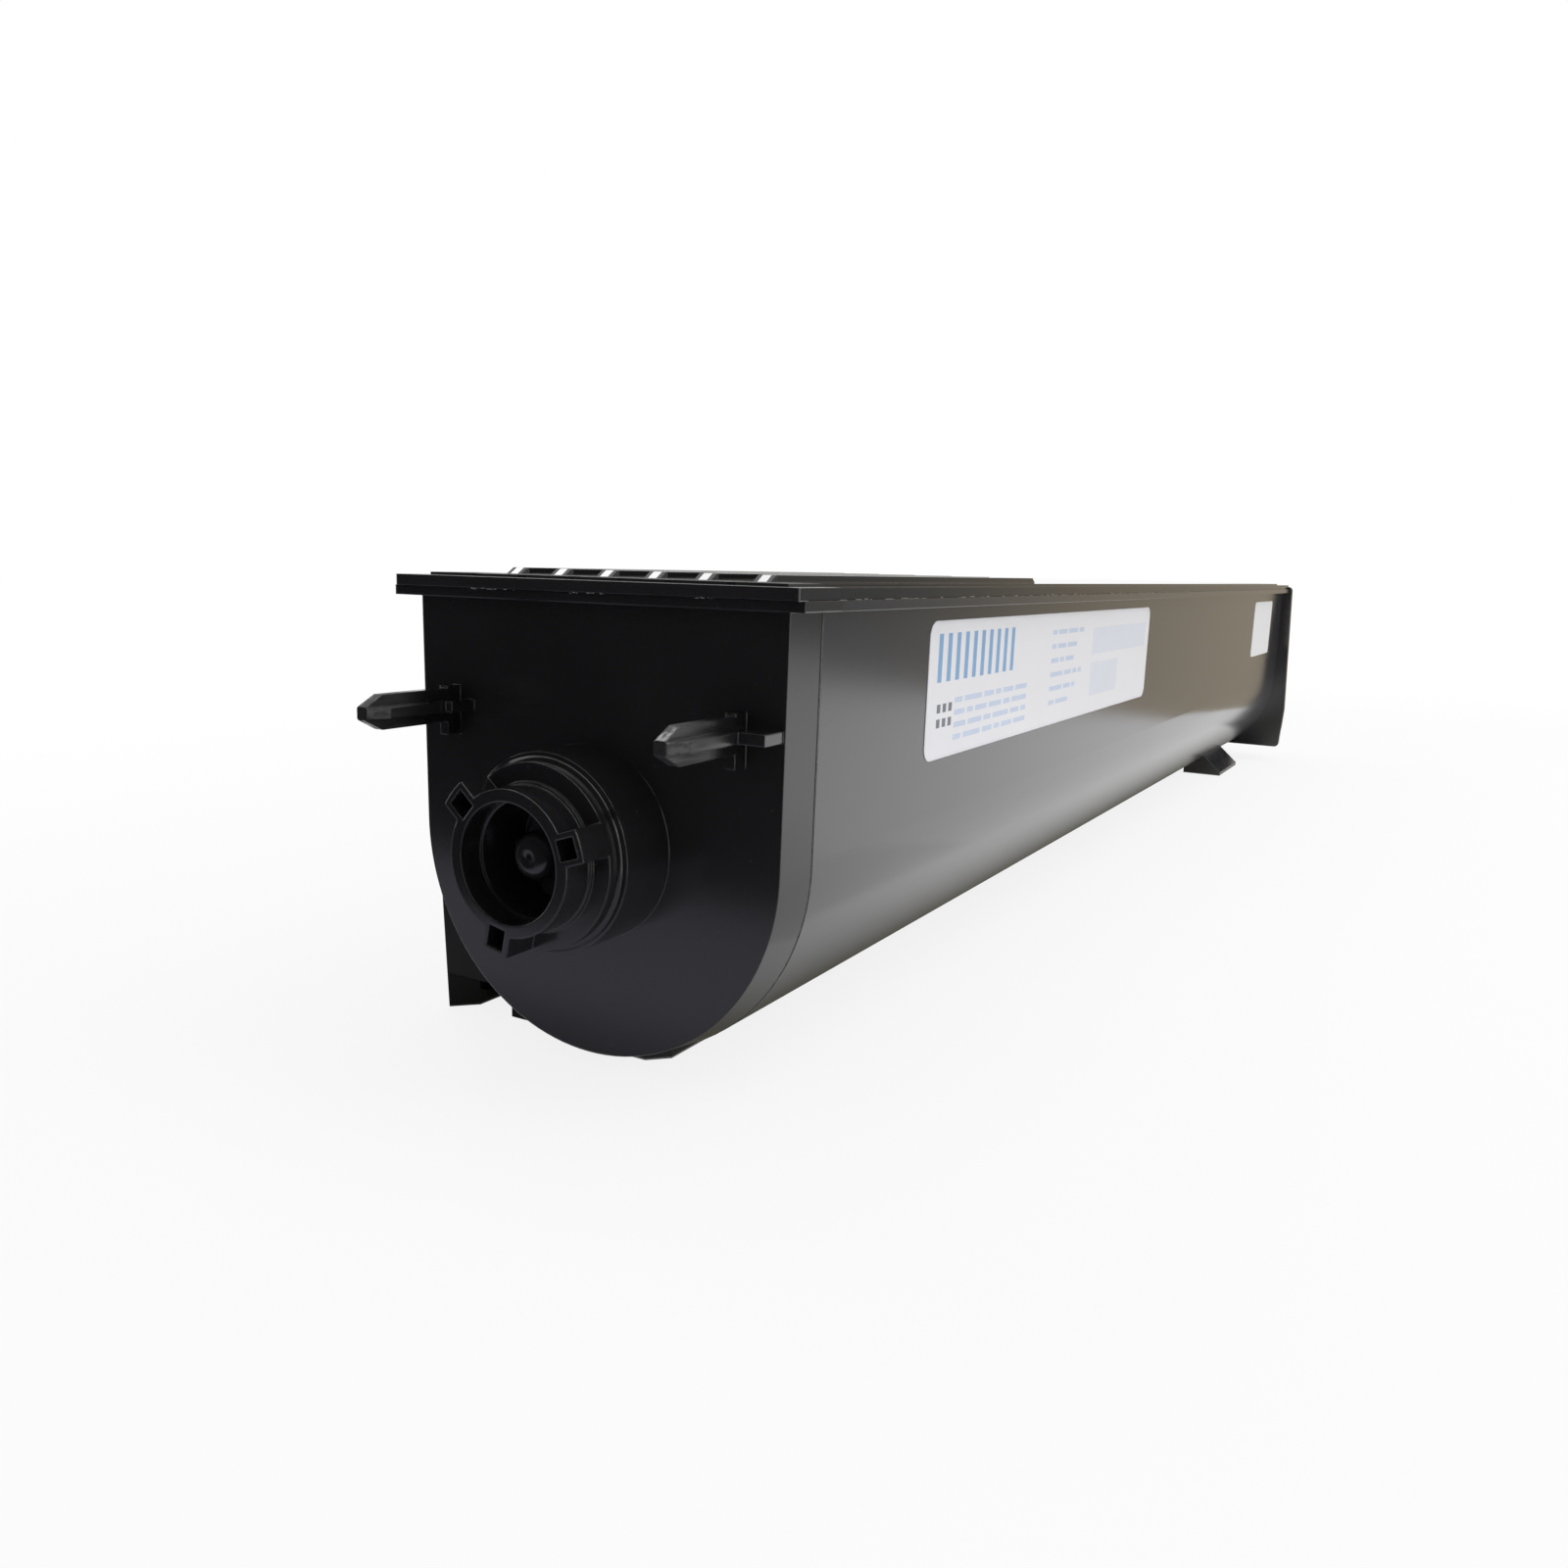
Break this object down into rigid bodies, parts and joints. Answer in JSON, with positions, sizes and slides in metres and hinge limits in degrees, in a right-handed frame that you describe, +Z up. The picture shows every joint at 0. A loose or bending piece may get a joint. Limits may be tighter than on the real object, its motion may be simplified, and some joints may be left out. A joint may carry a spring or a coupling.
{
  "type": "toner cartridge",
  "caption": "Long U-section toner cartridge with ribbed lid, drive coupling and guide prongs on the front end, pull handle on the far end, agitator inside and a sliding outlet shutter.",
  "frame": {"origin": "centre of the bounding box's base, on the surface that the cartridge stands on", "axes": "+Y from the drive end to the handle, +Z up, +X towards the labelled side"},
  "size_m": [0.0904, 0.524, 0.0877],
  "materials": {
    "body_plastic": "glossy black injection-moulded styrene",
    "lid_plastic": "glossy black moulded lid",
    "cap_plastic": "satin black moulded end cap",
    "coupling_plastic": "satin black acetal",
    "bush_plastic": "natural acetal",
    "seal_foam": "soft charcoal sealing foam",
    "shaft_steel": "bright drawn steel",
    "frame_plastic": "dark grey moulding",
    "paddle_film": "milky polyester film",
    "label_film": null,
    "tag_paper": "plain white sticker"
  },
  "bodies": {
    "hopper": {"trough": "body_plastic", "outlet_housing": "body_plastic", "lid": "lid_plastic", "drive_end_cap": "cap_plastic", "handle_cap": "cap_plastic", "front_bearing": "bush_plastic", "rear_bearing": "bush_plastic", "filler_plug": "bush_plastic", "front_shaft_seal": "seal_foam", "rear_shaft_seal": "seal_foam", "port_seal": "seal_foam", "side_label": "label_film", "tag_sticker": "tag_paper"},
    "rotor": {"drive_coupling": "coupling_plastic", "coupling_pin": "shaft_steel", "agitator_shaft": "shaft_steel", "agitator_frame": "frame_plastic", "shaft_clip": "shaft_steel", "film_paddle_1": "paddle_film", "film_paddle_2": "paddle_film", "film_paddle_3": "paddle_film", "clamp_strip_1": "frame_plastic", "clamp_strip_2": "frame_plastic", "clamp_strip_3": "frame_plastic"},
    "shutter": {"outlet_shutter": "coupling_plastic"}
  },
  "joints": [
    {"name": "agitator_spin", "type": "hinge", "parent": "hopper", "child": "rotor", "pos_m": [0, -0.24, 0.04135], "axis": [0, -1, 0], "continuous": true},
    {"name": "shutter_slide", "type": "slide", "parent": "hopper", "child": "shutter", "axis": [0, 1, 0], "range_m": [0, 0.028]}
  ]
}
